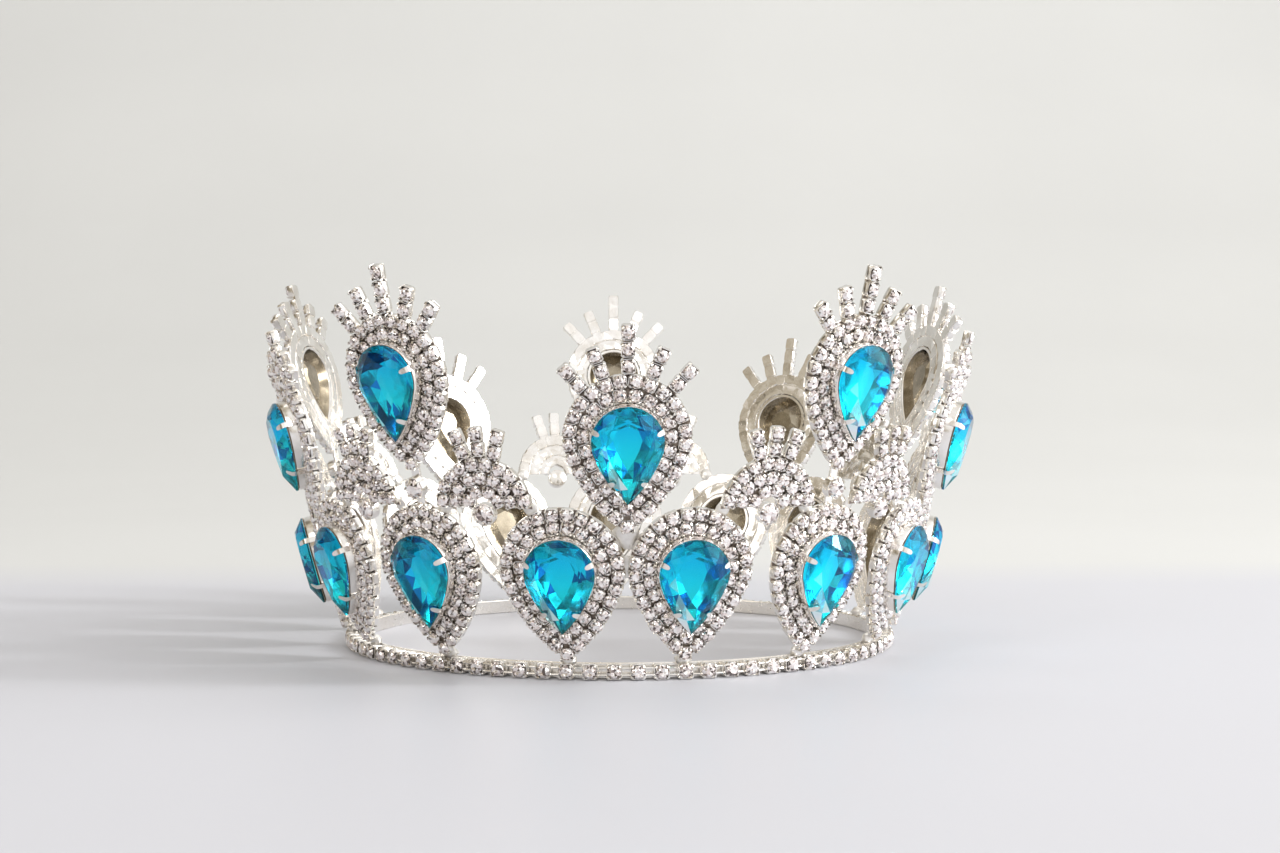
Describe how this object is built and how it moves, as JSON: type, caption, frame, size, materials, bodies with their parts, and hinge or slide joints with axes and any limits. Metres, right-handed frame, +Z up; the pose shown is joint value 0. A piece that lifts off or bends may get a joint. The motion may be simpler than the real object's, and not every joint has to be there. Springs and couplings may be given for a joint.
{
  "type": "crown",
  "caption": "Full-round crown of cup-chain rows and fans soldered around claw-set aqua pear stones, on a flat band worn on the head.",
  "frame": {"origin": "on the axis of the head opening, in the plane the band rests on", "axes": "+Z up along the axis of the head opening; -Y through the front low medallion"},
  "size_m": [0.2082, 0.2098, 0.1052],
  "materials": {
    "plated_metal": "bright silver plate",
    "band_metal": "bright silver plate",
    "solder": "soft solder, slightly dull",
    "clear_stone": "faceted clear glass, foil-backed",
    "pear_stone": "faceted aqua glass, foil-backed under dark lacquer"
  },
  "bodies": {
    "root": {"base_band": "band_metal", "base_chain": "plated_metal", "base_stones": "clear_stone", "lower_medallion_01": "plated_metal", "lower_medallion_02": "plated_metal", "lower_medallion_03": "plated_metal", "lower_medallion_04": "plated_metal", "lower_medallion_05": "plated_metal", "lower_medallion_06": "plated_metal", "lower_medallion_07": "plated_metal", "lower_medallion_08": "plated_metal", "lower_medallion_09": "plated_metal", "lower_medallion_10": "plated_metal", "lower_medallion_11": "plated_metal", "lower_medallion_12": "plated_metal", "lower_medallion_13": "plated_metal", "lower_medallion_14": "plated_metal", "lower_medallion_15": "plated_metal", "upper_medallion_01": "plated_metal", "upper_medallion_02": "plated_metal", "upper_medallion_03": "plated_metal", "upper_medallion_04": "plated_metal", "upper_medallion_05": "plated_metal", "upper_medallion_06": "plated_metal", "upper_medallion_07": "plated_metal", "upper_medallion_08": "plated_metal", "upper_medallion_09": "plated_metal", "upper_medallion_10": "plated_metal", "fan_01": "plated_metal", "fan_02": "plated_metal", "fan_03": "plated_metal", "fan_04": "plated_metal", "fan_05": "plated_metal", "fan_06": "plated_metal", "fan_07": "plated_metal", "fan_08": "plated_metal", "fan_09": "plated_metal", "fan_10": "plated_metal", "lower_gems": "pear_stone", "upper_gems": "pear_stone", "lower_settings": "plated_metal", "upper_settings": "plated_metal", "lower_halo_stones": "clear_stone", "upper_halo_stones": "clear_stone", "upper_rays": "plated_metal", "ray_stones": "clear_stone", "fan_stones": "clear_stone", "round_cups": "plated_metal", "round_stones": "clear_stone", "solder_pads": "solder", "feet": "solder"}
  },
  "joints": []
}
